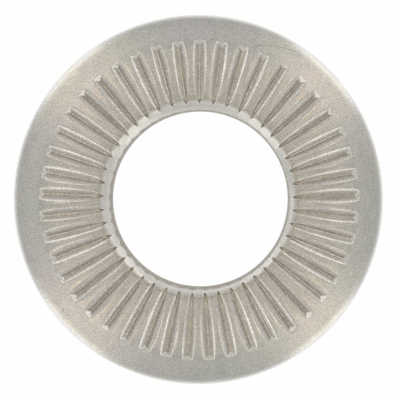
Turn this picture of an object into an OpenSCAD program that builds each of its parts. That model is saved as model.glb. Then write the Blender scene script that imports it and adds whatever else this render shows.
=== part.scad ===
// Contact washer: a dished spring washer stamped from stainless sheet, with a ring of radial
// serrations pressed into its raised side. It lies on its rim, with the serrations up, and the
// origin is at the hole's centre on the plane that the rim rests on.

/* [Washer] */
// Outside diameter
outer_d = 22; // [20:0.5:26]
// Diameter of the hole, at its cylindrical land
bore_d = 10.45; // [10:0.05:11.2]
// Thickness of the sheet
sheet_t = 1.6; // [1.4:0.05:2]
// Slope of the sheet from the hole down to the rim, in degrees
cone_angle = 7; // [4:0.5:9]
// Radius of the slight bow across the sheet's raised side
bow_r = 36; // [30:1:60]
// Diameter of the ring where the bow is highest over the sheet
bow_middle_d = 16.6; // [16:0.1:17.2]

/* [Edges] */
// Radius of the rolled edge round the top of the rim
rim_roll_r = 0.3; // [0.2:0.05:0.6]
// Radius of the rolled edge round the top of the hole
bore_roll_r = 0.95; // [0.7:0.05:1.1]
// Steepness of that rolled edge where it ends at the hole's wall, in degrees
bore_roll_end = 46.5; // [42:0.5:55]
// How much the hole's radius grows from its land up to the rolled edge
bore_relief = 0.115; // [0.08:0.005:0.2]
// Height of the hole's cylindrical land
bore_land_h = 0.5; // [0.3:0.05:0.55]
// Broken edge under the hole
edge_break = 0.1; // [0.05:0.01:0.15]
// Width of the worn flat that the rim rests on
seat_w = 0.3; // [0.15:0.05:0.5]

/* [Serrations] */
// Number of grooves
groove_count = 45; // [36:1:48]
// Width of the plain rim outside the grooves
plain_rim_w = 1.5; // [1.2:0.1:2]
// Depth of the grooves where the bow is highest
groove_depth = 0.225; // [0.18:0.005:0.3]
// Angle between the two flanks of a groove, in degrees
groove_angle = 104; // [80:2:110]
// Width of the flat along the bottom of a groove
groove_root_w = 0.03; // [0.02:0.01:0.1]
// Radius of the rounded shoulders along a groove
shoulder_r = 0.6; // [0.3:0.05:0.7]
// Slope of the facet that closes a groove's outer end, in degrees
groove_end_angle = 50; // [40:1:65]

/* [Hidden] */
$fn = 180;

// What cutting shapes reach beyond the surfaces that they cut
margin = 0.5;
// Angle at which a groove's shoulders run out into the bow
shoulder_run_out = 10;

outer_r = outer_d / 2;
bore_r = bore_d / 2;
mouth_r = bore_r + bore_relief;

// The sheet has a frame of its own: u runs down the slope, v across the thickness, and
// the frame's origin is the centre of the rim's rolled edge.
sheet_under = rim_roll_r - sheet_t;
seat_trim = seat_w * sin(cone_angle) * cos(cone_angle);
sheet_r = outer_r - rim_roll_r;
sheet_z = rim_roll_r * sin(cone_angle) - sheet_under * cos(cone_angle) - seat_trim;

// The u of a radius r, and the washer's height there, both at the level v of the sheet
function slope_u(r, v) = (r - sheet_r - v * sin(cone_angle)) / cos(cone_angle);
function slope_z(r, v) = sheet_z + v / cos(cone_angle) - (r - sheet_r) * tan(cone_angle);

// The bow runs into the rim's rolled edge without a step
bow_u = slope_u(bow_middle_d / 2, rim_roll_r);
bow_v = -sqrt(pow(bow_r - rim_roll_r, 2) - pow(bow_u, 2));
bow_top = bow_v + bow_r;
rim_tangent_u = -bow_u * rim_roll_r / (bow_r - rim_roll_r);

// How far the bow has fallen at u
function bow_fall(u) = bow_r - sqrt(pow(bow_r, 2) - pow(u - bow_u, 2));

// The rolled edge round the top of the hole runs into the bow without a step, too
bow_axis_r = sheet_r + bow_u * cos(cone_angle) + bow_v * sin(cone_angle);
bow_axis_z = sheet_z - bow_u * sin(cone_angle) + bow_v * cos(cone_angle);
roll_r = mouth_r + bore_roll_r * sin(bore_roll_end);
roll_z = bow_axis_z + sqrt(pow(bow_r - bore_roll_r, 2) - pow(roll_r - bow_axis_r, 2));
roll_lean = asin((roll_r - bow_axis_r) / (bow_r - bore_roll_r));
mouth_z = roll_z + bore_roll_r * cos(bore_roll_end);

// The hole's land starts above its broken lower edge
land_z = slope_z(bore_r, sheet_under) + edge_break;

// The sheet is drawn right into the hole before the hole is cut
blank_u = slope_u(bore_r - margin, sheet_under);

// A groove's flanks, and the circles that round its shoulders
flank_slope = 90 - groove_angle / 2;
shoulder_y = -shoulder_r * cos(shoulder_run_out);
tangent_y = shoulder_y + shoulder_r * cos(flank_slope);
tangent_x = groove_root_w / 2 + (groove_depth + tangent_y) / tan(flank_slope);
shoulder_x = tangent_x + shoulder_r * sin(flank_slope);

// Where a groove starts, inside the hole, and where its end facet meets the bow
groove_start_u = slope_u(bore_r - margin, bow_top);
groove_end_u = slope_u(outer_r - plain_rim_w, bow_top);

// The sheet's section with its bow and the rim's rolled edge, in the sheet's own frame
module sheet_section() {
    intersection() {
        translate([blank_u, sheet_under])
            square([rim_tangent_u - blank_u, sheet_t + margin]);
        translate([bow_u, bow_v])
            circle(bow_r);
    }
    translate([0, sheet_under])
        square([rim_roll_r, -sheet_under]);
    circle(rim_roll_r);
}

// Everything that the hole takes away: its wall, from the broken edge up to the mouth, and what
// lies over the rolled edge
module hole_section() {
    flare = edge_break + margin;
    reach = bore_roll_r + margin;
    top_z = roll_z + reach;
    polygon([
        [0, land_z - flare],
        [bore_r + flare, land_z - flare],
        [bore_r, land_z],
        [bore_r, land_z + bore_land_h],
        [mouth_r, mouth_z],
        [mouth_r, top_z],
        [0, top_z]
    ]);
    difference() {
        polygon([
            [mouth_r, mouth_z],
            [roll_r, roll_z],
            [roll_r + reach * sin(roll_lean), roll_z + reach * cos(roll_lean)],
            [mouth_r, top_z]
        ]);
        translate([roll_r, roll_z])
            circle(bore_roll_r);
    }
}

// The dished blank, before its serrations are pressed
module dished_blank() {
    rotate_extrude()
        difference() {
            translate([sheet_r, sheet_z])
                rotate(-cone_angle)
                    sheet_section();
            hole_section();
            translate([0, -margin])
                square([outer_r + margin, margin]);
        }
}

// A groove's V, with a flat root and rounded shoulders, seen along the groove
module groove_section() {
    difference() {
        polygon([
            [-groove_root_w / 2, -groove_depth],
            [groove_root_w / 2, -groove_depth],
            [tangent_x, tangent_y],
            [shoulder_x, tangent_y],
            [shoulder_x, margin],
            [-shoulder_x, margin],
            [-shoulder_x, tangent_y],
            [-tangent_x, tangent_y]
        ]);
        for (side = [-1, 1])
            translate([side * shoulder_x, shoulder_y])
                circle(shoulder_r);
    }
}

// A groove's length with its sloping outer end, seen from the side
module groove_side() {
    deep = groove_depth + margin;
    high = 2 * margin;
    end_v = -bow_fall(groove_end_u);
    polygon([
        [groove_start_u, -deep],
        [groove_end_u - (end_v + deep) / tan(groove_end_angle), -deep],
        [groove_end_u + (high - end_v) / tan(groove_end_angle), high],
        [groove_start_u, high]
    ]);
}

// The tooth of the press tool that forms one groove, along +X
module groove_tooth() {
    length = groove_end_u - groove_start_u + 2 * margin;
    translate([sheet_r, 0, sheet_z])
        rotate([0, cone_angle, 0])
            translate([0, 0, bow_top])
                intersection() {
                    translate([groove_start_u - margin, 0, 0])
                        rotate([90, 0, 90])
                            linear_extrude(length)
                                groove_section();
                    rotate([90, 0, 0])
                        linear_extrude(2 * shoulder_x + margin, center = true)
                            groove_side();
                }
}

module contact_washer() {
    color([0.74, 0.72, 0.68])
        difference() {
            dished_blank();
            // One groove lies on +Y
            for (i = [0 : groove_count - 1])
                rotate(90 + i * 360 / groove_count)
                    groove_tooth();
        }
}

contact_washer();
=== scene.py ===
import math
import random

import bpy
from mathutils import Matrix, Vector


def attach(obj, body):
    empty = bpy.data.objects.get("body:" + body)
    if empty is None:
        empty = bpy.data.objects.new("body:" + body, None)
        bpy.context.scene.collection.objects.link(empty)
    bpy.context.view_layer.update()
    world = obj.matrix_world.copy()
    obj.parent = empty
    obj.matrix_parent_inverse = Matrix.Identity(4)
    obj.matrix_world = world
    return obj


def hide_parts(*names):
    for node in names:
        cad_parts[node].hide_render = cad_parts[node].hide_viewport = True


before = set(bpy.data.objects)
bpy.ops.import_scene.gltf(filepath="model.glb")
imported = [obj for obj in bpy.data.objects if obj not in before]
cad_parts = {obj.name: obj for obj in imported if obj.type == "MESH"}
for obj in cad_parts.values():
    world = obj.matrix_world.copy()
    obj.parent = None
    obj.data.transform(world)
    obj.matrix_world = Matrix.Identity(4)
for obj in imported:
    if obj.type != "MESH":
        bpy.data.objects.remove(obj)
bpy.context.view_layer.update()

MM = 0.001

# The washer's sizes, as in the part's source
OUTER_R = 11 * MM
BORE_R = 5.225 * MM
SHEET_T = 1.6 * MM
SLOPE = math.radians(7)
BOW_R = 36 * MM
BOW_MIDDLE_R = 8.3 * MM
RIM_ROLL_R = 0.3 * MM
BORE_ROLL_END = math.radians(46.5)
BORE_LAND_H = 0.5 * MM
EDGE_BREAK = 0.1 * MM
SEAT_W = 0.3 * MM
# The hole's mouth, a little wider than there
MOUTH_R = 5.365 * MM

# The serrations, as in the part's source
GROOVES = 45
PITCH = 2 * math.pi / GROOVES
FIRST_GROOVE = math.pi / 2
PLAIN_RIM_W = 1.5 * MM
GROOVE_ROOT_W = 0.03 * MM
FLANK = math.radians(38)
SHOULDER_RUN_OUT = math.radians(10)
# Their depth, shoulders and end facets, fitted to how this washer catches the light
GROOVE_DEPTH = 0.232 * MM
SHOULDER_R = 0.42 * MM
END_SLOPE = math.tan(math.radians(42))
# A groove gets narrower towards its pointed inner end
TIP_NARROW = 0.6
TIP_R = 5.7 * MM
TIP_START_R = 6.25 * MM
# How much the edges of a groove are rounded off
LIP_ROUND = 0.01 * MM
END_LIP_ROUND = 0.008 * MM
ROOT_ROUND = 0.004 * MM
END_ROUND = 0.006 * MM
# How much the middle of a land stands over its sides, and how much more on the crest
LAND_CROWN = 0.006 * MM
CREST_CROWN = 0.012 * MM

# How much the grooves differ by chance: in depth, as a share of it, and in millimetres in their
# place to the side and the place of their ends
SEED = 45
DEPTH_SPREAD = 0.03
SHIFT_SPREAD = 0.008
END_SPREAD = 0.02
# The scallops at the hole's mouth, with a share by chance, and a larger one opposite the azimuth
# where they are shallowest
SCALLOP = 0.085 * MM
SCALLOP_REACH = 0.3 * MM
SCALLOP_LEAST = 0.15
SCALLOP_MOST = 0.35
SCALLOP_LOWER_LEFT = 1.1
SHALLOW_AZIMUTH = math.radians(25)

# The edge round the hole: the crest's roll, then a tight edge and a slightly rounded chamfer,
# each with its radius and the steepness at which the next one starts
CREST_R = 5.96 * MM
CREST_ROLL_R = 1.2 * MM
CREST_END = math.radians(8)
EDGE_R = 0.25 * MM
EDGE_END = math.radians(27)
CHAMFER_R = 3.5 * MM

# How far the ring of grooves stands off the rim's middle, and the hole off that ring's middle
RING_OFF = Vector((0.054, -0.034, 0)) * MM
HOLE_OFF = Vector((0.068, 0.07, 0)) * MM
# How much of the hole's offset is left at its mouth
MOUTH_OFF_SHARE = 0.35
# How far the chamfer's upper edge stands off the ring's middle
CHAMFER_OFF = Vector((-0.07, 0.12, 0)) * MM

# The plain rim is pressed a little flatter than the bow, and worn down along its edge
RIM_FLAT = math.tan(math.radians(0.6))
RIM_FLAT_START = 9.15 * MM
RIM_FLAT_END = 9.65 * MM
RIM_WEAR_START = 10.67 * MM
RIM_WEAR = 0.4 / MM
RIM_CORNER_R = 0.15 * MM

# The sheet's own frame: u runs down the slope, v across the thickness, from the centre of
# the rim's rolled edge
SHEET_TOP = RIM_ROLL_R
SHEET_UNDER = RIM_ROLL_R - SHEET_T
SEAT_TRIM = SEAT_W * math.sin(SLOPE) * math.cos(SLOPE)
SHEET_R = OUTER_R - RIM_ROLL_R
SHEET_Z = SHEET_TOP * math.sin(SLOPE) - SHEET_UNDER * math.cos(SLOPE) - SEAT_TRIM


def on_sheet(u, v):
    """The point of the section at u and v in the sheet's own frame."""
    return Vector((
        SHEET_R + u * math.cos(SLOPE) + v * math.sin(SLOPE),
        0,
        SHEET_Z - u * math.sin(SLOPE) + v * math.cos(SLOPE),
    ))


def slope_u(r, v):
    """The u of a radius r at the level v of the sheet."""
    return (r - SHEET_R - v * math.sin(SLOPE)) / math.cos(SLOPE)


def sheet_top_z(r):
    """The height of the flat sheet's top at a radius r."""
    return on_sheet(slope_u(r, SHEET_TOP), SHEET_TOP).z


def ramp(value, start, end):
    """Rises smoothly from 0 at start to 1 at end."""
    share = min(max((value - start) / (end - start), 0), 1)
    return share * share * (3 - 2 * share)


def smooth_min(a, b, blend):
    """The lower of two heights, with the corner between them rounded off."""
    share = max(blend - abs(a - b), 0) / blend
    return min(a, b) - share * share * blend / 4


def smooth_max(a, b, blend):
    """The higher of two heights, with the corner between them rounded off."""
    return -smooth_min(-a, -b, blend)


# The bow across the sheet's top runs into the rolled edges of the rim and of the hole
BOW_U = slope_u(BOW_MIDDLE_R, SHEET_TOP)
BOW_V = -math.sqrt((BOW_R - RIM_ROLL_R) ** 2 - BOW_U ** 2)
BOW_TOP = BOW_V + BOW_R
bow_axis = on_sheet(BOW_U, BOW_V)
crest_rise = math.sqrt((BOW_R - CREST_ROLL_R) ** 2 - (CREST_R - bow_axis.x) ** 2)
crest_axis = Vector((CREST_R, 0, bow_axis.z + crest_rise))
crest_end = Vector((-math.sin(CREST_END), 0, math.cos(CREST_END)))
edge_axis = crest_axis + crest_end * (CREST_ROLL_R - EDGE_R)
edge_end = Vector((-math.sin(EDGE_END), 0, math.cos(EDGE_END)))
chamfer_axis = edge_axis + edge_end * (EDGE_R - CHAMFER_R)
CREST_OUT_R = CREST_R + CREST_ROLL_R * (CREST_R - bow_axis.x) / (BOW_R - CREST_ROLL_R)
CREST_IN_R = (crest_axis + crest_end * CREST_ROLL_R).x
EDGE_IN_R = (edge_axis + edge_end * EDGE_R).x


def bowed_z(r):
    """The height of the bow, or of the edge round the hole, at a radius r."""
    axis, radius = bow_axis, BOW_R
    if r < EDGE_IN_R:
        axis, radius = chamfer_axis, CHAMFER_R
    elif r < CREST_IN_R:
        axis, radius = edge_axis, EDGE_R
    elif r < CREST_OUT_R:
        axis, radius = crest_axis, CREST_ROLL_R
    return axis.z + math.sqrt(radius ** 2 - (r - axis.x) ** 2)


def rim_z(r):
    """The height of the bow, the plain rim and its worn edge at a radius r."""
    flat = RIM_FLAT * (r - SHEET_R) * ramp(r, RIM_FLAT_START, RIM_FLAT_END)
    wear = RIM_WEAR * max(r - RIM_WEAR_START, 0) ** 2
    beyond = min(max(r - OUTER_R + RIM_CORNER_R, 0), RIM_CORNER_R)
    return bowed_z(r) + flat - wear - RIM_CORNER_R + math.sqrt(RIM_CORNER_R ** 2 - beyond ** 2)


# A groove's flank runs straight up from the root, and then round the shoulder into the land
SHOULDER_H = SHOULDER_R * (math.cos(SHOULDER_RUN_OUT) - math.cos(FLANK))
FLANK_H = GROOVE_DEPTH - SHOULDER_H
SHOULDER_Y = GROOVE_ROOT_W / 2 + FLANK_H / math.tan(FLANK)
RUN_OUT_Y = SHOULDER_Y + SHOULDER_R * (math.sin(FLANK) - math.sin(SHOULDER_RUN_OUT))
# Its tip, and where its end facet meets the bow
TIP_SPAN = (slope_u(TIP_R, BOW_TOP), slope_u(TIP_START_R, BOW_TOP))
GROOVE_END_U = slope_u(OUTER_R - PLAIN_RIM_W, BOW_TOP)
GROOVE_END_V = BOW_V + math.sqrt(BOW_R ** 2 - (GROOVE_END_U - BOW_U) ** 2)
# How far the flanks and the end facet run into each other
FACET_BLEND = 0.02 * MM


def flank_height(y):
    """How high a groove's flank is over its root, at y beside the groove's middle."""
    if y < SHOULDER_Y:
        return (y - GROOVE_ROOT_W / 2) * math.tan(FLANK)
    if y < RUN_OUT_Y:
        from_axis = SHOULDER_Y + SHOULDER_R * math.sin(FLANK) - y
        return FLANK_H + math.sqrt(SHOULDER_R ** 2 - from_axis ** 2) - SHOULDER_R * math.cos(FLANK)
    return GROOVE_DEPTH + (y - RUN_OUT_Y) * math.tan(SHOULDER_RUN_OUT)


def tooth_level(groove, u, y):
    """The level of the press tool's tooth in the sheet's own frame, at u along and y beside a
    groove, and how far the place belongs to the tooth's end."""
    root = BOW_TOP - GROOVE_DEPTH * groove["depth"]
    at_tip = 1 - ramp(u, *TIP_SPAN)
    flank = root + flank_height(abs(y - groove["shift"]) * (1 + TIP_NARROW * at_tip))
    facet = GROOVE_END_V + (u - GROOVE_END_U - groove["end"]) * END_SLOPE
    level = smooth_max(smooth_max(flank, root, ROOT_ROUND), facet, END_ROUND)
    return level, ramp(facet - max(flank, root), -FACET_BLEND, FACET_BLEND)


# Points of the section round the hole. The corner is what the rolled edge rounds off, and the
# bevel that does so stops just short of the mouth.
mouth = Vector((MOUTH_R, 0, bowed_z(MOUTH_R)))
corner_in = (sheet_top_z(MOUTH_R) - mouth.z) / (math.tan(BORE_ROLL_END) + math.tan(SLOPE))
corner = Vector((MOUTH_R + corner_in, 0, sheet_top_z(MOUTH_R + corner_in)))
BEVEL_SHARE = 0.95
BEVEL_LENGTH = BEVEL_SHARE * (corner - mouth).length
bore_foot = on_sheet(slope_u(BORE_R, SHEET_UNDER), SHEET_UNDER)
land_low = bore_foot + Vector((0, 0, EDGE_BREAK))
land_high = land_low + Vector((0, 0, BORE_LAND_H))

# What a point of the section may lie off its place and still be found there
NEAR = 0.001 * MM

# Rows of faces along the section, and columns of faces in one groove's pitch
CREST_ROWS = 17
LAND_ROWS = 13
FACET_ROWS = 16
PLAIN_RIM_ROWS = 5
RIM_ROLL_ROWS = 9
UNDERSIDE_ROWS = 5
BORE_RELIEF_ROWS = 4
BORE_LAND_ROWS = 3
COLUMNS = 27
# The facets' rows start this far inside the end of a groove, and end this far outside it
FACET_ROWS_IN = 0.3 * MM
FACET_ROWS_OUT = 0.06 * MM

# How far each column stands to the side of a groove's middle, where there is room for it, and
# the share of the room that these columns may take up
STATIONS = [s * MM for s in (
    0.012, 0.035, 0.06, 0.085, 0.115, 0.15, 0.19, 0.23, 0.27, 0.31, 0.35, 0.395, 0.45,
)]
STATIONS_SHARE = 0.92


def pick(piece, *points):
    """Selects the vertices at these points, and nothing else."""
    bpy.ops.mesh.select_all(action="DESELECT")
    bpy.ops.object.mode_set(mode="OBJECT")
    for vertex in piece.data.vertices:
        vertex.select = any((vertex.co - point).length < NEAR for point in points)
    bpy.ops.object.mode_set(mode="EDIT")


def trim(point, side):
    """Cuts the section along a line and clears what lies on the given side of it."""
    bpy.ops.mesh.select_all(action="SELECT")
    bpy.ops.mesh.bisect(plane_co=point, plane_no=side.normalized(), clear_outer=True, threshold=NEAR)


def add_rows(piece, start, end, rows):
    """Divides the section's edge between two of its points into rows."""
    pick(piece, start, end)
    bpy.ops.mesh.subdivide(number_cuts=rows - 1)


def add_point(piece, start, end, place):
    """Adds a point to the section's edge between two of its points."""
    pick(piece, start, end)
    bpy.ops.mesh.subdivide(number_cuts=1)
    middle = (start + end) / 2
    pick(piece, middle)
    bpy.ops.transform.translate(value=place - middle)


def spin_blank():
    """The dished blank, spun from the sheet's section."""
    inner_u = slope_u(BORE_R - SHEET_T, SHEET_UNDER)
    middle = on_sheet((inner_u + RIM_ROLL_R) / 2, (SHEET_TOP + SHEET_UNDER) / 2)
    bpy.ops.object.select_all(action="DESELECT")
    bpy.ops.mesh.primitive_plane_add(size=1, location=middle, rotation=(math.pi / 2, SLOPE, 0))
    blank = bpy.context.object
    blank.name = "washer_finish"
    blank.data.name = "washer_finish"
    blank.scale = (RIM_ROLL_R - inner_u, SHEET_T, 1)
    bpy.ops.object.transform_apply(location=True, rotation=True, scale=True)

    # The hole's rolled edge, relief, land and broken edge, and the seat, are cut from the sheet
    bpy.ops.object.mode_set(mode="EDIT")
    bpy.ops.mesh.select_mode(type="VERT")
    across = mouth - corner
    trim(corner, Vector((across.z, 0, -across.x)))
    relief = mouth - land_high
    trim(land_high, Vector((-relief.z, 0, relief.x)))
    trim(land_low, Vector((-1, 0, 0)))
    trim(land_low, Vector((-1, 0, -1)))
    trim(Vector((0, 0, 0)), Vector((0, 0, -1)))

    rim_corner = on_sheet(RIM_ROLL_R, SHEET_TOP)
    pick(blank, rim_corner)
    bpy.ops.mesh.bevel(offset=RIM_ROLL_R, segments=RIM_ROLL_ROWS, affect="VERTICES")
    pick(blank, corner)
    bpy.ops.mesh.bevel(offset=BEVEL_LENGTH, segments=CREST_ROWS, affect="VERTICES")

    # The section's edges are divided into rows, close together where the facets come
    bpy.ops.mesh.select_all(action="SELECT")
    bpy.ops.mesh.delete(type="ONLY_FACE")
    top_start = on_sheet(slope_u(corner.x, SHEET_TOP) + BEVEL_LENGTH, SHEET_TOP)
    top_end = on_sheet(0, SHEET_TOP)
    facet_start = on_sheet(GROOVE_END_U - FACET_ROWS_IN, SHEET_TOP)
    facet_end = on_sheet(GROOVE_END_U + FACET_ROWS_OUT, SHEET_TOP)
    add_point(blank, top_start, top_end, facet_start)
    add_point(blank, facet_start, top_end, facet_end)
    add_rows(blank, top_start, facet_start, LAND_ROWS)
    add_rows(blank, facet_start, facet_end, FACET_ROWS)
    add_rows(blank, facet_end, top_end, PLAIN_RIM_ROWS)
    add_rows(blank, mouth, land_high, BORE_RELIEF_ROWS)
    add_rows(blank, land_high, land_low, BORE_LAND_ROWS)
    break_r = BORE_R + EDGE_BREAK / (1 - math.tan(SLOPE))
    break_end = on_sheet(slope_u(break_r, SHEET_UNDER), SHEET_UNDER)
    seat_start = on_sheet(RIM_ROLL_R - SEAT_W * math.cos(SLOPE), SHEET_UNDER)
    add_rows(blank, break_end, seat_start, UNDERSIDE_ROWS)

    # One groove's pitch is spun first, and then copied round the washer
    bpy.ops.mesh.select_all(action="SELECT")
    bpy.ops.mesh.spin(steps=COLUMNS, angle=PITCH, center=(0, 0, 0), axis=(0, 0, 1))
    bpy.ops.mesh.select_all(action="SELECT")
    bpy.ops.mesh.spin(
        steps=GROOVES - 1,
        dupli=True,
        angle=2 * math.pi - PITCH,
        center=(0, 0, 0),
        axis=(0, 0, 1),
    )
    bpy.ops.mesh.select_all(action="SELECT")
    bpy.ops.mesh.remove_doubles(threshold=NEAR)
    bpy.ops.mesh.normals_make_consistent(inside=False)
    bpy.ops.object.mode_set(mode="OBJECT")
    return blank


def column_place(column, r):
    """How far a column of faces stands to the side of its groove's middle, at the radius r."""
    side = column - COLUMNS / 2
    station = int(abs(side) - 0.5)
    half_pitch = r * math.sin(PITCH / 2)
    room = min(1, STATIONS_SHARE * half_pitch / STATIONS[-1])
    if station < len(STATIONS):
        place = STATIONS[station] * room
    else:
        steps = (COLUMNS + 1) // 2 - len(STATIONS)
        share = (station - len(STATIONS) + 1) / steps
        place = STATIONS[-1] * room + (half_pitch - STATIONS[-1] * room) * share
    return math.copysign(place, side)


def draw_grooves():
    """What is each groove's own: its azimuth, and by chance its depth, its place to the side,
    the place of its end and its scallop."""
    random.seed(SEED)
    grooves = []
    for number in range(GROOVES):
        azimuth = FIRST_GROOVE + PITCH * number
        lower_left = 0.5 - 0.5 * math.cos(azimuth - SHALLOW_AZIMUTH)
        deeper = SCALLOP_LOWER_LEFT * lower_left ** 2
        grooves.append({
            "azimuth": azimuth,
            "depth": random.gauss(1, DEPTH_SPREAD),
            "shift": random.gauss(0, SHIFT_SPREAD) * MM,
            "end": random.gauss(0, END_SPREAD) * MM,
            "scallop": random.uniform(SCALLOP_LEAST, SCALLOP_MOST) + deeper,
        })
    return grooves


# Where the shape changes from one form to another, by radius, or by u along a groove
HOLE_SPAN = (BORE_R, MOUTH_R)
MOUTH_SPAN = (MOUTH_R, CREST_R)
CHAMFER_RISE = (MOUTH_R, EDGE_IN_R)
CHAMFER_FADE = (CREST_R, CREST_R + 0.7 * MM)
CREST_RISE = (5.5 * MM, 5.8 * MM)
CREST_FADE = (CREST_R, CREST_R + 0.6 * MM)
LAND_FADE = (GROOVE_END_U - 0.3 * MM, GROOVE_END_U + 0.2 * MM)
RING_FADE = (9.7 * MM, 10.4 * MM)

# The finishes, each a mask from 0 to 1 on the mesh. The torn one also holds painted shade, in the
# grooves' pointed inner ends and in part on the hole's wall
MASKS = ("serrated", "pressed", "lip", "facet", "edge", "chamfer", "torn_and_shade")
# Where they start and end, by radius, or by u along a groove
SERRATED_FADE = (GROOVE_END_U - 1.3 * MM, GROOVE_END_U + 0.1 * MM)
EDGE_RISE = (RIM_WEAR_START, SHEET_R + 0.1 * MM)
CHAMFER_TOP = (5.68 * MM, 5.84 * MM)
WALL_TOP = (MOUTH_R - 0.03 * MM, MOUTH_R)
# The painted shade in the grooves' pointed inner ends: where it fades out by radius, and how much of
# the torn wall's darker colour it takes
TIP_SHADE_FADE = (5.7 * MM, 5.95 * MM)
TIP_SHADE_SHARE = 0.8
# The same by how deep the tooth cuts into the land
PRESSED_START = 0.03 * MM
PRESSED_FULL = 0.12 * MM
LIP_INSIDE = (-0.08 * MM, -0.03 * MM)
LIP_OUTSIDE = (-0.02 * MM, 0.005 * MM)
# How deep the tooth cuts where the painted shade at a groove's inner end is full
TIP_SHADE_FULL = 0.008 * MM
FACET_FULL = 0.01 * MM
# The tool's mark reaches nearer to the lip at a groove's inner end, where the lip is weaker
REACH_RISE = (5.9 * MM, 6.4 * MM)
INNER_REACH = 0.3
INNER_LIP = 0.4
# The strokes of the press tool are drawn out along the grooves
STROKE_STRETCH = 0.08


def press_serrations(washer):
    """Presses the grooves into the blank, each a little different from the next, and marks which
    finish is where, and where shade is painted: in the grooves' pointed inner ends, and in part on
    the hole's wall."""
    grooves = draw_grooves()
    attributes = washer.data.attributes
    for name in MASKS:
        attributes.new(name, "FLOAT", "POINT")
    attributes.new("strokes", "FLOAT_VECTOR", "POINT")
    step = PITCH / COLUMNS
    for vertex in washer.data.vertices:
        r = math.hypot(vertex.co.x, vertex.co.y)
        z = vertex.co.z
        column = round(math.atan2(vertex.co.y, vertex.co.x) / step) % (GROOVES * COLUMNS)
        groove = grooves[column // COLUMNS]
        azimuth = groove["azimuth"]
        y = column_place(column % COLUMNS, r)
        x = math.sqrt(r * r - y * y)
        between = abs(y) / (r * math.sin(PITCH / 2))
        turn = azimuth + math.atan2(y, x)
        outward = Vector((math.cos(turn), math.sin(turn), 0))
        raised = z > land_high.z + NEAR and z > sheet_top_z(r) - 0.5 * SHEET_T
        on_bow = raised and MOUTH_R - NEAR < r < SHEET_R

        # The press bows the sheet, and the rim's edge is worn
        if on_bow or z > SHEET_Z + RIM_ROLL_R * math.sin(SLOPE) and r > SHEET_R:
            z = rim_z(r)
        # The mouth of the hole is scalloped: its edge lies further out in line with each groove
        scallop = SCALLOP * groove["scallop"] * (1 - between) ** 2
        if raised and r < MOUTH_R + SCALLOP_REACH:
            if on_bow:
                scallop *= (1 - (r - MOUTH_R) / SCALLOP_REACH) ** 2
                z = bowed_z(r + scallop)
            else:
                scallop *= (z - land_high.z) / (mouth.z - land_high.z)
                z += scallop * math.tan(BORE_ROLL_END)
            x += scallop
        u = (x - SHEET_R) * math.cos(SLOPE) - (z - SHEET_Z) * math.sin(SLOPE)
        v = (x - SHEET_R) * math.sin(SLOPE) + (z - SHEET_Z) * math.cos(SLOPE)
        # The hole is punched a little off the middle of the ring of grooves
        off = 1 - (1 - MOUTH_OFF_SHARE) * ramp(r, *HOLE_SPAN) - MOUTH_OFF_SHARE * ramp(r, *MOUTH_SPAN)
        at_crest = ramp(r, *CHAMFER_RISE) * (1 - ramp(r, *CHAMFER_FADE))
        u += HOLE_OFF.dot(outward) * off + CHAMFER_OFF.dot(outward) * at_crest

        tip = 0
        lip = 0
        facet = 0
        pressed = 0
        if on_bow:
            # The lands are a little crowned between the grooves
            crown = LAND_CROWN * (1 - ramp(u, *LAND_FADE))
            on_crest = ramp(r, *CREST_RISE) * (1 - ramp(r, *CREST_FADE))
            land = v - (crown + CREST_CROWN * on_crest) * (1 - between) ** 2
            tooth, at_end = tooth_level(groove, u, y)
            v = smooth_min(land, tooth, LIP_ROUND + (END_LIP_ROUND - LIP_ROUND) * at_end)
            cut = land - tooth
            reach = INNER_REACH + (1 - INNER_REACH) * ramp(r, *REACH_RISE)
            lip = ramp(-cut, *LIP_INSIDE) * ramp(cut, *LIP_OUTSIDE)
            lip *= INNER_LIP + (1 - INNER_LIP) * reach
            # Painted shade in the groove's pointed inner end, near the hole
            tip = ramp(cut, 0, TIP_SHADE_FULL) * (1 - ramp(r, *TIP_SHADE_FADE))
            pressed = ramp(cut, PRESSED_START * reach, PRESSED_FULL * reach) * (1 - at_end)
            facet = at_end * ramp(cut, 0, FACET_FULL)

        wall = 1 - ramp(r, *WALL_TOP)
        finish = {
            "serrated": 1 - ramp(u, *SERRATED_FADE),
            "pressed": pressed,
            "lip": lip,
            "facet": facet,
            "edge": ramp(r, *EDGE_RISE),
            "chamfer": (1 - ramp(r, *CHAMFER_TOP)) * (1 - wall) * (1 - tip),
            # The hole's wall, torn and darker partly as painted shade, and the painted shade in the
            # grooves' tips
            "torn_and_shade": max(wall, TIP_SHADE_SHARE * tip),
        }
        for name, value in finish.items():
            attributes[name].data[vertex.index].value = value
        along = Vector((0, 0, STROKE_STRETCH * r))
        attributes["strokes"].data[vertex.index].vector = outward * BOW_MIDDLE_R + along

        x = SHEET_R + u * math.cos(SLOPE) + v * math.sin(SLOPE)
        z = SHEET_Z - u * math.sin(SLOPE) + v * math.cos(SLOPE)
        vertex.co = Vector((
            x * math.cos(azimuth) - y * math.sin(azimuth),
            x * math.sin(azimuth) + y * math.cos(azimuth),
            z,
        )) + RING_OFF * (1 - ramp(r, *RING_FADE))


# The size of each pattern's spots, and its detail. The satin grain is finer still on the real
# washer, and is drawn as coarse as it needs to show.
PATTERNS = {
    "grain": (0.07 * MM, 1.0),
    "streaks": (0.09 * MM, 2.0),
    "dents": (0.16 * MM, 2.0),
    "mottle": (0.7 * MM, 3.0),
    "clouds": (3.5 * MM, 1.0),
}
# The values that most of a pattern lies between
PATTERN_LOW = 0.3
PATTERN_HIGH = 0.7
CLOUDS_LOW = 0.35
CLOUDS_HIGH = 0.65

# Faint lilac and straw clouds on the plain rim, and browner ones on the serrated ring
RIM_CLOUDS = ("#CCC9C5", "#CACAC1")
RING_CLOUDS = ("#CAC3B9", "#C8C3B6")
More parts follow.
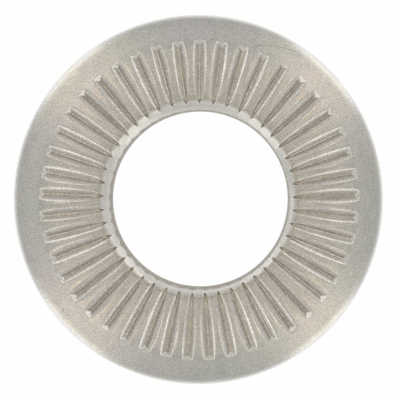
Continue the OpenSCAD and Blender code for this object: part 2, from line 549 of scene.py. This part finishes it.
# The burnish of the press tool and of the grit, with painted highlights and painted shade, each laid
# over the one before it
BURNISH_AND_PAINTED_LIGHT = {
    # Lighter than the steel on the lips and end facets: a painted highlight over their burnish
    "lip": "#DBD7CE",
    "facet": "#E6E2D9",
    "pressed": "#CDC7BD",
    # Lighter on the rim's edge and the chamfer too: a painted highlight over their burnish
    "edge": "#E3E1DC",
    "chamfer": "#DFDDD6",
    # Darker on the torn wall, partly its duller tone and partly painted shade, and as painted shade
    # in the grooves' pointed inner ends
    "torn_and_shade": "#AEA89F",
}
# How dark and how light each pattern makes the steel
SHADES = {"grain": (0.8, 1.2), "streaks": (0.86, 1.14), "dents": (0.88, 1.12)}
# How much of that is rubbed off the rim's edge and the chamfer
RUBBED_EDGE = 0.5
RUBBED_CHAMFER = 0.7

# The roughness of the satin steel, and how much rougher or smoother it is elsewhere
SMOOTHEST = 0.2
ROUGHEST = 0.28
TORN_ROUGHER = 0.3
CHAMFER_ROUGHER = 0.02
WORN_ROUGHER = -0.11
# The depths of the grain and of the dents, and how strong the dents are on flanks and edge
GRAIN_DEPTH = 0.002 * MM
DENT_DEPTH = 0.011 * MM
PRESSED_DENTS = 0.6
EDGE_DENTS = 0.4

# One hairline scratch across the rim, a flat arc about a point of the serrated ring: its middle,
# its radius, half its width at the dark line and with its soft sides, and how dark it is
SCRATCH_MIDDLE = (4.01 * MM, 4.58 * MM, 0)
SCRATCH_R = 4.58 * MM
SCRATCH_LINE = 0.012 * MM
SCRATCH_SIDES = 0.035 * MM
SCRATCH_DARK = 0.3
# The axis along which the scratch fades in, and where it starts and is full, in millimetres
SCRATCH_FADES = (("X", 3.0, 3.1), ("X", 6.3, 6.0), ("Y", 7, 8))
# A nick at the lower left with two specks beside it, and a short scratch near the top: the place
# of each, its turn in degrees, its length and width, all in millimetres, and how dark it is
NICKS = (
    (-8.02, -6.62, 56, 0.42, 0.1, 0.55),
    (-8.01, -7.12, 20, 0.16, 0.12, 0.5),
    (-7.78, -7.39, 60, 0.14, 0.1, 0.5),
    (0.79, 9.52, 27, 0.45, 0.07, 0.4),
)


def linear(hex_colour):
    """An sRGB hex colour as linear red, green, blue and alpha."""
    channels = [int(hex_colour[i:i + 2], 16) / 255 for i in (1, 3, 5)]
    return [c / 12.92 if c <= 0.04045 else ((c + 0.055) / 1.055) ** 2.4 for c in channels] + [1]


def add_node(tree, kind, inputs, output=None, **settings):
    """Adds one node with its settings, and feeds its inputs with values or other nodes' outputs.
    Returns the output asked for, or else the node."""
    node = tree.nodes.new(kind)
    for name, value in settings.items():
        setattr(node, name, value)
    for name, value in inputs.items():
        if isinstance(value, bpy.types.NodeSocket):
            tree.links.new(value, node.inputs[name])
        else:
            node.inputs[name].default_value = value
    return node.outputs[output] if output else node


def rim_marks(tree, place):
    """How much darker the scratches and nicks make the plain rim."""
    flat = add_node(
        tree, "ShaderNodeVectorMath",
        {0: place, 1: (1, 1, 0)},
        "Vector", operation="MULTIPLY",
    )
    away = add_node(
        tree, "ShaderNodeVectorMath",
        {0: flat, 1: SCRATCH_MIDDLE},
        "Value", operation="DISTANCE",
    )
    away = add_node(tree, "ShaderNodeMath", {0: away, 1: SCRATCH_R}, "Value", operation="SUBTRACT")
    away = add_node(tree, "ShaderNodeMath", {0: away}, "Value", operation="ABSOLUTE")
    marks = add_node(
        tree, "ShaderNodeMapRange",
        {
            "Value": away,
            "From Min": SCRATCH_LINE,
            "From Max": SCRATCH_SIDES,
            "To Min": SCRATCH_DARK,
            "To Max": 0,
        },
        "Result",
    )
    along = add_node(tree, "ShaderNodeSeparateXYZ", {"Vector": place})
    for axis, start, full in SCRATCH_FADES:
        part = add_node(
            tree, "ShaderNodeMapRange",
            {"Value": along.outputs[axis], "From Min": start * MM, "From Max": full * MM},
            "Result",
        )
        marks = add_node(tree, "ShaderNodeMath", {0: marks, 1: part}, "Value", operation="MULTIPLY")
    for x, y, turn, length, width, dark in NICKS:
        nick = add_node(
            tree, "ShaderNodeMapping",
            {
                "Vector": place,
                "Location": (x * MM, y * MM, 0),
                "Rotation": (0, 0, math.radians(turn)),
                "Scale": (length * MM / 2, width * MM / 2, 1),
            },
            "Vector", vector_type="TEXTURE",
        )
        nick = add_node(
            tree, "ShaderNodeTexGradient", {"Vector": nick}, "Fac", gradient_type="SPHERICAL",
        )
        marks = add_node(
            tree, "ShaderNodeMath", {0: nick, 1: dark, 2: marks}, "Value", operation="MULTIPLY_ADD",
        )
    return marks


def tumbled_stainless_steel():
    """Stainless spring steel, tumbled in grit after pressing. The grit leaves an even satin grain,
    finer than a tenth of a millimetre, and dents the edges, which glint in broken lines. The
    serrated ring keeps the warm brown burnish of the press tool, and the rim's edge and the chamfer
    are rubbed smooth. The lips, end facets, rim's edge and chamfer are painted lighter, a painted
    highlight over their burnish. The punched wall of the hole is torn and matt, and painted darker,
    partly as painted shade; the pointed inner ends of the grooves get the same painted shade."""
    material = bpy.data.materials.new("tumbled stainless steel")
    material.use_nodes = True
    tree = material.node_tree
    tree.nodes.clear()
    place = add_node(tree, "ShaderNodeTexCoord", {}, "Object")
    strokes = add_node(tree, "ShaderNodeAttribute", {}, "Vector", attribute_name="strokes")
    mask = {}
    for name in MASKS:
        mask[name] = add_node(tree, "ShaderNodeAttribute", {}, "Fac", attribute_name=name)
    # Each pattern's scale is one over the size of its spots
    pattern = {}
    for name, (size, detail) in PATTERNS.items():
        pattern[name] = add_node(
            tree, "ShaderNodeTexNoise",
            {"Vector": strokes if name == "streaks" else place, "Scale": 1 / size, "Detail": detail},
            "Fac",
        )

    tint = add_node(
        tree, "ShaderNodeMapRange",
        {"Value": pattern["clouds"], "From Min": CLOUDS_LOW, "From Max": CLOUDS_HIGH},
        "Result",
    )
    tinted = []
    for lilac, straw in (RIM_CLOUDS, RING_CLOUDS):
        tinted.append(add_node(
            tree, "ShaderNodeMix",
            {"Factor": tint, "A": linear(lilac), "B": linear(straw)},
            "Result", data_type="RGBA",
        ))
    colour = add_node(
        tree, "ShaderNodeMix",
        {"Factor": mask["serrated"], "A": tinted[0], "B": tinted[1]},
        "Result", data_type="RGBA",
    )
    for name, hex_colour in BURNISH_AND_PAINTED_LIGHT.items():
        colour = add_node(
            tree, "ShaderNodeMix",
            {"Factor": mask[name], "A": colour, "B": linear(hex_colour)},
            "Result", data_type="RGBA",
        )

    # The grain shades the steel all over, the strokes of the press tool do on the serrated ring,
    # and dull and bright spots of grit do on the flanks of the grooves
    shade = {}
    for name, (dark, light) in SHADES.items():
        shade[name] = add_node(
            tree, "ShaderNodeMapRange",
            {
                "Value": pattern[name],
                "From Min": PATTERN_LOW,
                "From Max": PATTERN_HIGH,
                "To Min": dark,
                "To Max": light,
            },
            "Result",
        )
    level = shade["grain"]
    for name, where in (("streaks", "serrated"), ("dents", "pressed")):
        there = add_node(
            tree, "ShaderNodeMix", {"Factor": mask[where], "A": 1.0, "B": shade[name]}, "Result",
        )
        level = add_node(tree, "ShaderNodeMath", {0: level, 1: there}, "Value", operation="MULTIPLY")
    rubbed = add_node(
        tree, "ShaderNodeMath",
        {0: mask["chamfer"], 1: RUBBED_CHAMFER},
        "Value", operation="MULTIPLY",
    )
    rubbed = add_node(
        tree, "ShaderNodeMath",
        {0: mask["edge"], 1: RUBBED_EDGE, 2: rubbed},
        "Value", operation="MULTIPLY_ADD",
    )
    level = add_node(tree, "ShaderNodeMix", {"Factor": rubbed, "A": level, "B": 1.0}, "Result")
    marks = rim_marks(tree, place)
    clear = add_node(tree, "ShaderNodeMath", {0: 1, 1: marks}, "Value", operation="SUBTRACT")
    level = add_node(tree, "ShaderNodeMath", {0: level, 1: clear}, "Value", operation="MULTIPLY")
    colour = add_node(
        tree, "ShaderNodeVectorMath", {"Vector": colour, "Scale": level}, "Vector", operation="SCALE",
    )

    # Worn edges are smoother than the satin steel, and dented, as the flanks of the grooves are
    worn = add_node(
        tree, "ShaderNodeMath", {0: mask["lip"], 1: mask["facet"]}, "Value", operation="MAXIMUM",
    )
    dent = add_node(
        tree, "ShaderNodeMath",
        {0: mask["pressed"], 1: PRESSED_DENTS},
        "Value", operation="MULTIPLY",
    )
    dent = add_node(tree, "ShaderNodeMath", {0: dent, 1: worn}, "Value", operation="MAXIMUM")
    dent = add_node(
        tree, "ShaderNodeMath",
        {0: mask["edge"], 1: EDGE_DENTS, 2: dent},
        "Value", operation="MULTIPLY_ADD",
    )
    worn = add_node(tree, "ShaderNodeMath", {0: worn, 1: mask["edge"]}, "Value", operation="MAXIMUM")
    rough = add_node(
        tree, "ShaderNodeMapRange",
        {
            "Value": pattern["mottle"],
            "From Min": PATTERN_LOW,
            "From Max": PATTERN_HIGH,
            "To Min": SMOOTHEST,
            "To Max": ROUGHEST,
        },
        "Result",
    )
    rougher = (
        (mask["torn_and_shade"], TORN_ROUGHER),
        (mask["chamfer"], CHAMFER_ROUGHER),
        (worn, WORN_ROUGHER),
    )
    for where, more in rougher:
        rough = add_node(
            tree, "ShaderNodeMath", {0: where, 1: more, 2: rough}, "Value", operation="MULTIPLY_ADD",
        )
    satin = add_node(
        tree, "ShaderNodeBump", {"Distance": GRAIN_DEPTH, "Height": pattern["grain"]}, "Normal",
    )
    dented = add_node(
        tree, "ShaderNodeBump",
        {"Strength": dent, "Distance": DENT_DEPTH, "Height": pattern["dents"], "Normal": satin},
        "Normal",
    )
    shader = add_node(
        tree, "ShaderNodeBsdfPrincipled",
        {"Metallic": 1.0, "Base Color": colour, "Roughness": rough, "Normal": dented},
        "BSDF",
    )
    add_node(tree, "ShaderNodeOutputMaterial", {"Surface": shader})
    return material


# Edges that turn by more than this are shaded sharp
SHARP = math.radians(28)

washer = spin_blank()
press_serrations(washer)
bpy.ops.object.shade_smooth()
bpy.ops.object.mode_set(mode="EDIT")
bpy.ops.mesh.select_all(action="DESELECT")
bpy.ops.mesh.select_mode(type="EDGE")
bpy.ops.mesh.edges_select_sharp(sharpness=SHARP)
bpy.ops.mesh.mark_sharp()
bpy.ops.object.mode_set(mode="OBJECT")
washer.data.materials.clear()
washer.data.materials.append(tumbled_stainless_steel())
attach(washer, "root")
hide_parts("contact_washer")

# The floor is white paper. The camera and the metal see it nearly plain white, and it keeps the
# washer's faint shadow.
FLOOR_W = 2
PLAIN_SHARE = 0.98
bpy.ops.object.select_all(action="DESELECT")
bpy.ops.mesh.primitive_plane_add(size=FLOOR_W, location=(0, 0, 0))
floor = bpy.context.object
floor.name = "floor"
paper = bpy.data.materials.new("white paper")
paper.use_nodes = True
tree = paper.node_tree
tree.nodes.clear()
rays = add_node(tree, "ShaderNodeLightPath", {})
seen = rays.outputs["Is Camera Ray"]
for ray in ("Is Glossy Ray", "Is Transmission Ray"):
    seen = add_node(
        tree, "ShaderNodeMath", {0: seen, 1: rays.outputs[ray]}, "Value", operation="MAXIMUM",
    )
share = add_node(tree, "ShaderNodeMath", {0: seen, 1: PLAIN_SHARE}, "Value", operation="MULTIPLY")
matt = add_node(tree, "ShaderNodeBsdfDiffuse", {"Color": linear("#F4F4F2")}, "BSDF")
white = add_node(tree, "ShaderNodeEmission", {"Strength": 1.0}, "Emission")
mixed = add_node(tree, "ShaderNodeMixShader", {"Fac": share, 1: matt, 2: white}, "Shader")
add_node(tree, "ShaderNodeOutputMaterial", {"Surface": mixed})
floor.data.materials.append(paper)

# Light: a pale tent, darker overhead where the camera looks in, and at each of its four corners
# a column of soft boxes, the uppermost of them warm. A box's tilt is in degrees from straight up.
BOX_DISTANCE = 0.5
SOFT_BOXES = {
    "upper_box": {"tilt": 22.5, "height": 0.088, "width": 0.088, "level": 0.58, "colour": "#FFDFB8"},
    "middle_box": {"tilt": 32.5, "height": 0.096, "width": 0.124, "level": 0.78, "colour": "#FFFAF2"},
    "lower_box": {"tilt": 53, "height": 0.268, "width": 0.184, "level": 0.4, "colour": "#FFFFFF"},
    "foot_box": {"tilt": 83.5, "height": 0.096, "width": 0.23, "level": 0.6, "colour": "#FFFFFF"},
}
for corner_number in range(4):
    turn = math.radians(45 + 90 * corner_number)
    for box_name, setting in SOFT_BOXES.items():
        tilt = math.radians(setting["tilt"])
        bpy.ops.object.light_add(
            type="AREA",
            location=(
                BOX_DISTANCE * math.sin(tilt) * math.cos(turn),
                BOX_DISTANCE * math.sin(tilt) * math.sin(turn),
                BOX_DISTANCE * math.cos(tilt),
            ),
            rotation=(0, tilt, turn),
        )
        box = bpy.context.object
        box.name = f"{box_name}_{corner_number + 1}"
        box.data.shape = "RECTANGLE"
        box.data.size = setting["height"]
        box.data.size_y = setting["width"]
        box.data.energy = setting["level"] * math.pi * setting["width"] * setting["height"]
        box.data.color = linear(setting["colour"])[:3]

# The tent's level of light at heights from the horizon, 0, to straight overhead, 1
TENT = (
    (0, 1.5), (0.26, 0.54), (0.55, 0.68), (0.66, 0.86), (0.77, 0.59), (0.9, 0.52),
    (0.94, 0.75), (0.965, 0.72), (0.985, 0.78), (0.995, 0.7), (1, 0.2),
)
world = bpy.data.worlds.new("pale tent")
bpy.context.scene.world = world
world.use_nodes = True
tree = world.node_tree
tree.nodes.clear()
around = add_node(tree, "ShaderNodeTexCoord", {}, "Generated")
height = add_node(tree, "ShaderNodeSeparateXYZ", {"Vector": around}, "Z")
levels = add_node(tree, "ShaderNodeValToRGB", {"Fac": height})
stops = levels.color_ramp.elements
while len(stops) < len(TENT):
    stops.new(0.5)
for stop, (place, level) in zip(stops, TENT):
    stop.position = place
    stop.color = (level, level, level, 1)
sky = add_node(tree, "ShaderNodeBackground", {"Color": levels.outputs["Color"]}, "Background")
add_node(tree, "ShaderNodeOutputWorld", {"Surface": sky})

# The camera looks straight down from far off. The frame's width is what it sees across at the
# height that it is measured at, about half the washer's own.
LENS = 200
SENSOR = 36
FRAME_W = 23.88 * MM
FRAME_Z = 1.1 * MM
CAMERA_X = 0.1 * MM
CAMERA_Y = -0.028 * MM
CAMERA_TURN = math.radians(0.25)
camera_data = bpy.data.cameras.new("camera")
camera_data.lens = LENS
camera_data.sensor_width = SENSOR
camera_data.clip_start = 0.01
camera_data.clip_end = 10
camera = bpy.data.objects.new("camera", camera_data)
camera.location = (CAMERA_X, CAMERA_Y, FRAME_W * LENS / SENSOR + FRAME_Z)
camera.rotation_euler = (0, 0, CAMERA_TURN)
bpy.context.collection.objects.link(camera)
bpy.context.scene.camera = camera
bpy.context.scene.view_settings.view_transform = "Standard"
